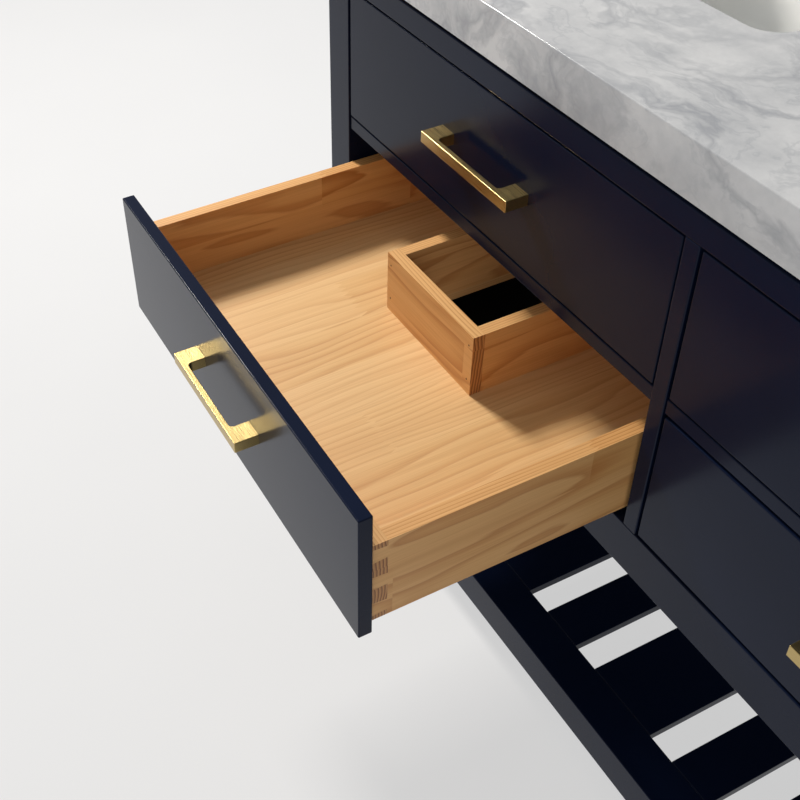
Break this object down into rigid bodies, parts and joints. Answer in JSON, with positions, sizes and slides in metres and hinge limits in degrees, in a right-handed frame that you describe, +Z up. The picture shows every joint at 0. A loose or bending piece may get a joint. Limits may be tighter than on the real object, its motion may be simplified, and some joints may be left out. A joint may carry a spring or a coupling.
{
  "type": "bathroom vanity cabinet",
  "caption": "Freestanding painted bathroom vanity with inset drawers on full-extension runners, notched pine boxes, a slatted open shelf and a marble top with undermount basins.",
  "frame": {"origin": "on the floor, at the centre of the whole outline with the lower left drawer standing open as stored", "axes": "+X to the right, +Y from the front to the back, +Z up"},
  "size_m": [1.219, 0.8716, 0.857],
  "materials": {
    "navy_lacquer": "satin lacquer",
    "dark_interior": "matt lacquer",
    "pine": "clear matt varnish",
    "brass": "brushed satin",
    "marble": "polished stone",
    "ceramic": "glazed ceramic",
    "steel": "zinc plated",
    "black_plastic": "moulded nylon"
  },
  "bodies": {
    "cabinet": {"post_front_left": "navy_lacquer", "post_front_right": "navy_lacquer", "post_back_left": "navy_lacquer", "post_back_right": "navy_lacquer", "rail_top_front": "navy_lacquer", "rail_bottom_front": "navy_lacquer", "rails_middle_front": "navy_lacquer", "side_panel_left": "navy_lacquer", "side_panel_right": "navy_lacquer", "shelf_rail_front": "navy_lacquer", "shelf_rail_back": "navy_lacquer", "shelf_rails_end": "navy_lacquer", "shelf_slats": "navy_lacquer", "divider_panel": "navy_lacquer", "floor_panel": "dark_interior", "back_panel": "dark_interior", "wall_nailer": "dark_interior", "runner_battens": "dark_interior", "countertop_slab": "marble", "countertop_edge_strips": "marble", "basin_left": "ceramic", "basin_right": "ceramic", "floor_glides": "black_plastic", "runner_rails_fixed": "steel"},
    "drawer_lower_left": {"drawer_lower_left_front": "navy_lacquer", "drawer_lower_left_pull": "brass", "drawer_lower_left_box_front": "pine", "drawer_lower_left_box_sides": "pine", "drawer_lower_left_box_back": "pine", "drawer_lower_left_bottom": "pine", "drawer_lower_left_notch_walls": "pine", "runner_lower_left_carrier": "steel"},
    "runner_lower_left": {"runner_lower_left_middle": "steel"},
    "drawer_upper_left": {"drawer_upper_left_front": "navy_lacquer", "drawer_upper_left_pull": "brass", "drawer_upper_left_box_front": "pine", "drawer_upper_left_box_sides": "pine", "drawer_upper_left_box_back": "pine", "drawer_upper_left_bottom": "pine", "drawer_upper_left_notch_walls": "pine", "runner_upper_left_carrier": "steel"},
    "runner_upper_left": {"runner_upper_left_middle": "steel"},
    "drawer_lower_right": {"drawer_lower_right_front": "navy_lacquer", "drawer_lower_right_pull": "brass", "drawer_lower_right_box_front": "pine", "drawer_lower_right_box_sides": "pine", "drawer_lower_right_box_back": "pine", "drawer_lower_right_bottom": "pine", "drawer_lower_right_notch_walls": "pine", "runner_lower_right_carrier": "steel"},
    "runner_lower_right": {"runner_lower_right_middle": "steel"},
    "drawer_upper_right": {"drawer_upper_right_front": "navy_lacquer", "drawer_upper_right_pull": "brass", "drawer_upper_right_box_front": "pine", "drawer_upper_right_box_sides": "pine", "drawer_upper_right_box_back": "pine", "drawer_upper_right_bottom": "pine", "drawer_upper_right_notch_walls": "pine", "runner_upper_right_carrier": "steel"},
    "runner_upper_right": {"runner_upper_right_middle": "steel"}
  },
  "joints": [
    {"name": "drawer_lower_left_slide", "type": "slide", "parent": "cabinet", "child": "drawer_lower_left", "axis": [0, -1, 0], "range_m": [-0.29, 0.11]},
    {"name": "runner_lower_left_slide", "type": "slide", "parent": "cabinet", "child": "runner_lower_left", "axis": [0, -1, 0], "range_m": [-0.145, 0.055]},
    {"name": "drawer_upper_left_slide", "type": "slide", "parent": "cabinet", "child": "drawer_upper_left", "axis": [0, -1, 0], "range_m": [0, 0.4]},
    {"name": "runner_upper_left_slide", "type": "slide", "parent": "cabinet", "child": "runner_upper_left", "axis": [0, -1, 0], "range_m": [0, 0.2]},
    {"name": "drawer_lower_right_slide", "type": "slide", "parent": "cabinet", "child": "drawer_lower_right", "axis": [0, -1, 0], "range_m": [0, 0.4]},
    {"name": "runner_lower_right_slide", "type": "slide", "parent": "cabinet", "child": "runner_lower_right", "axis": [0, -1, 0], "range_m": [0, 0.2]},
    {"name": "drawer_upper_right_slide", "type": "slide", "parent": "cabinet", "child": "drawer_upper_right", "axis": [0, -1, 0], "range_m": [0, 0.4]},
    {"name": "runner_upper_right_slide", "type": "slide", "parent": "cabinet", "child": "runner_upper_right", "axis": [0, -1, 0], "range_m": [0, 0.2]}
  ],
  "couplings": [
    {"joint": "runner_lower_left_slide", "follows": "drawer_lower_left_slide", "ratio": 0.5},
    {"joint": "runner_upper_left_slide", "follows": "drawer_upper_left_slide", "ratio": 0.5},
    {"joint": "runner_lower_right_slide", "follows": "drawer_lower_right_slide", "ratio": 0.5},
    {"joint": "runner_upper_right_slide", "follows": "drawer_upper_right_slide", "ratio": 0.5}
  ]
}
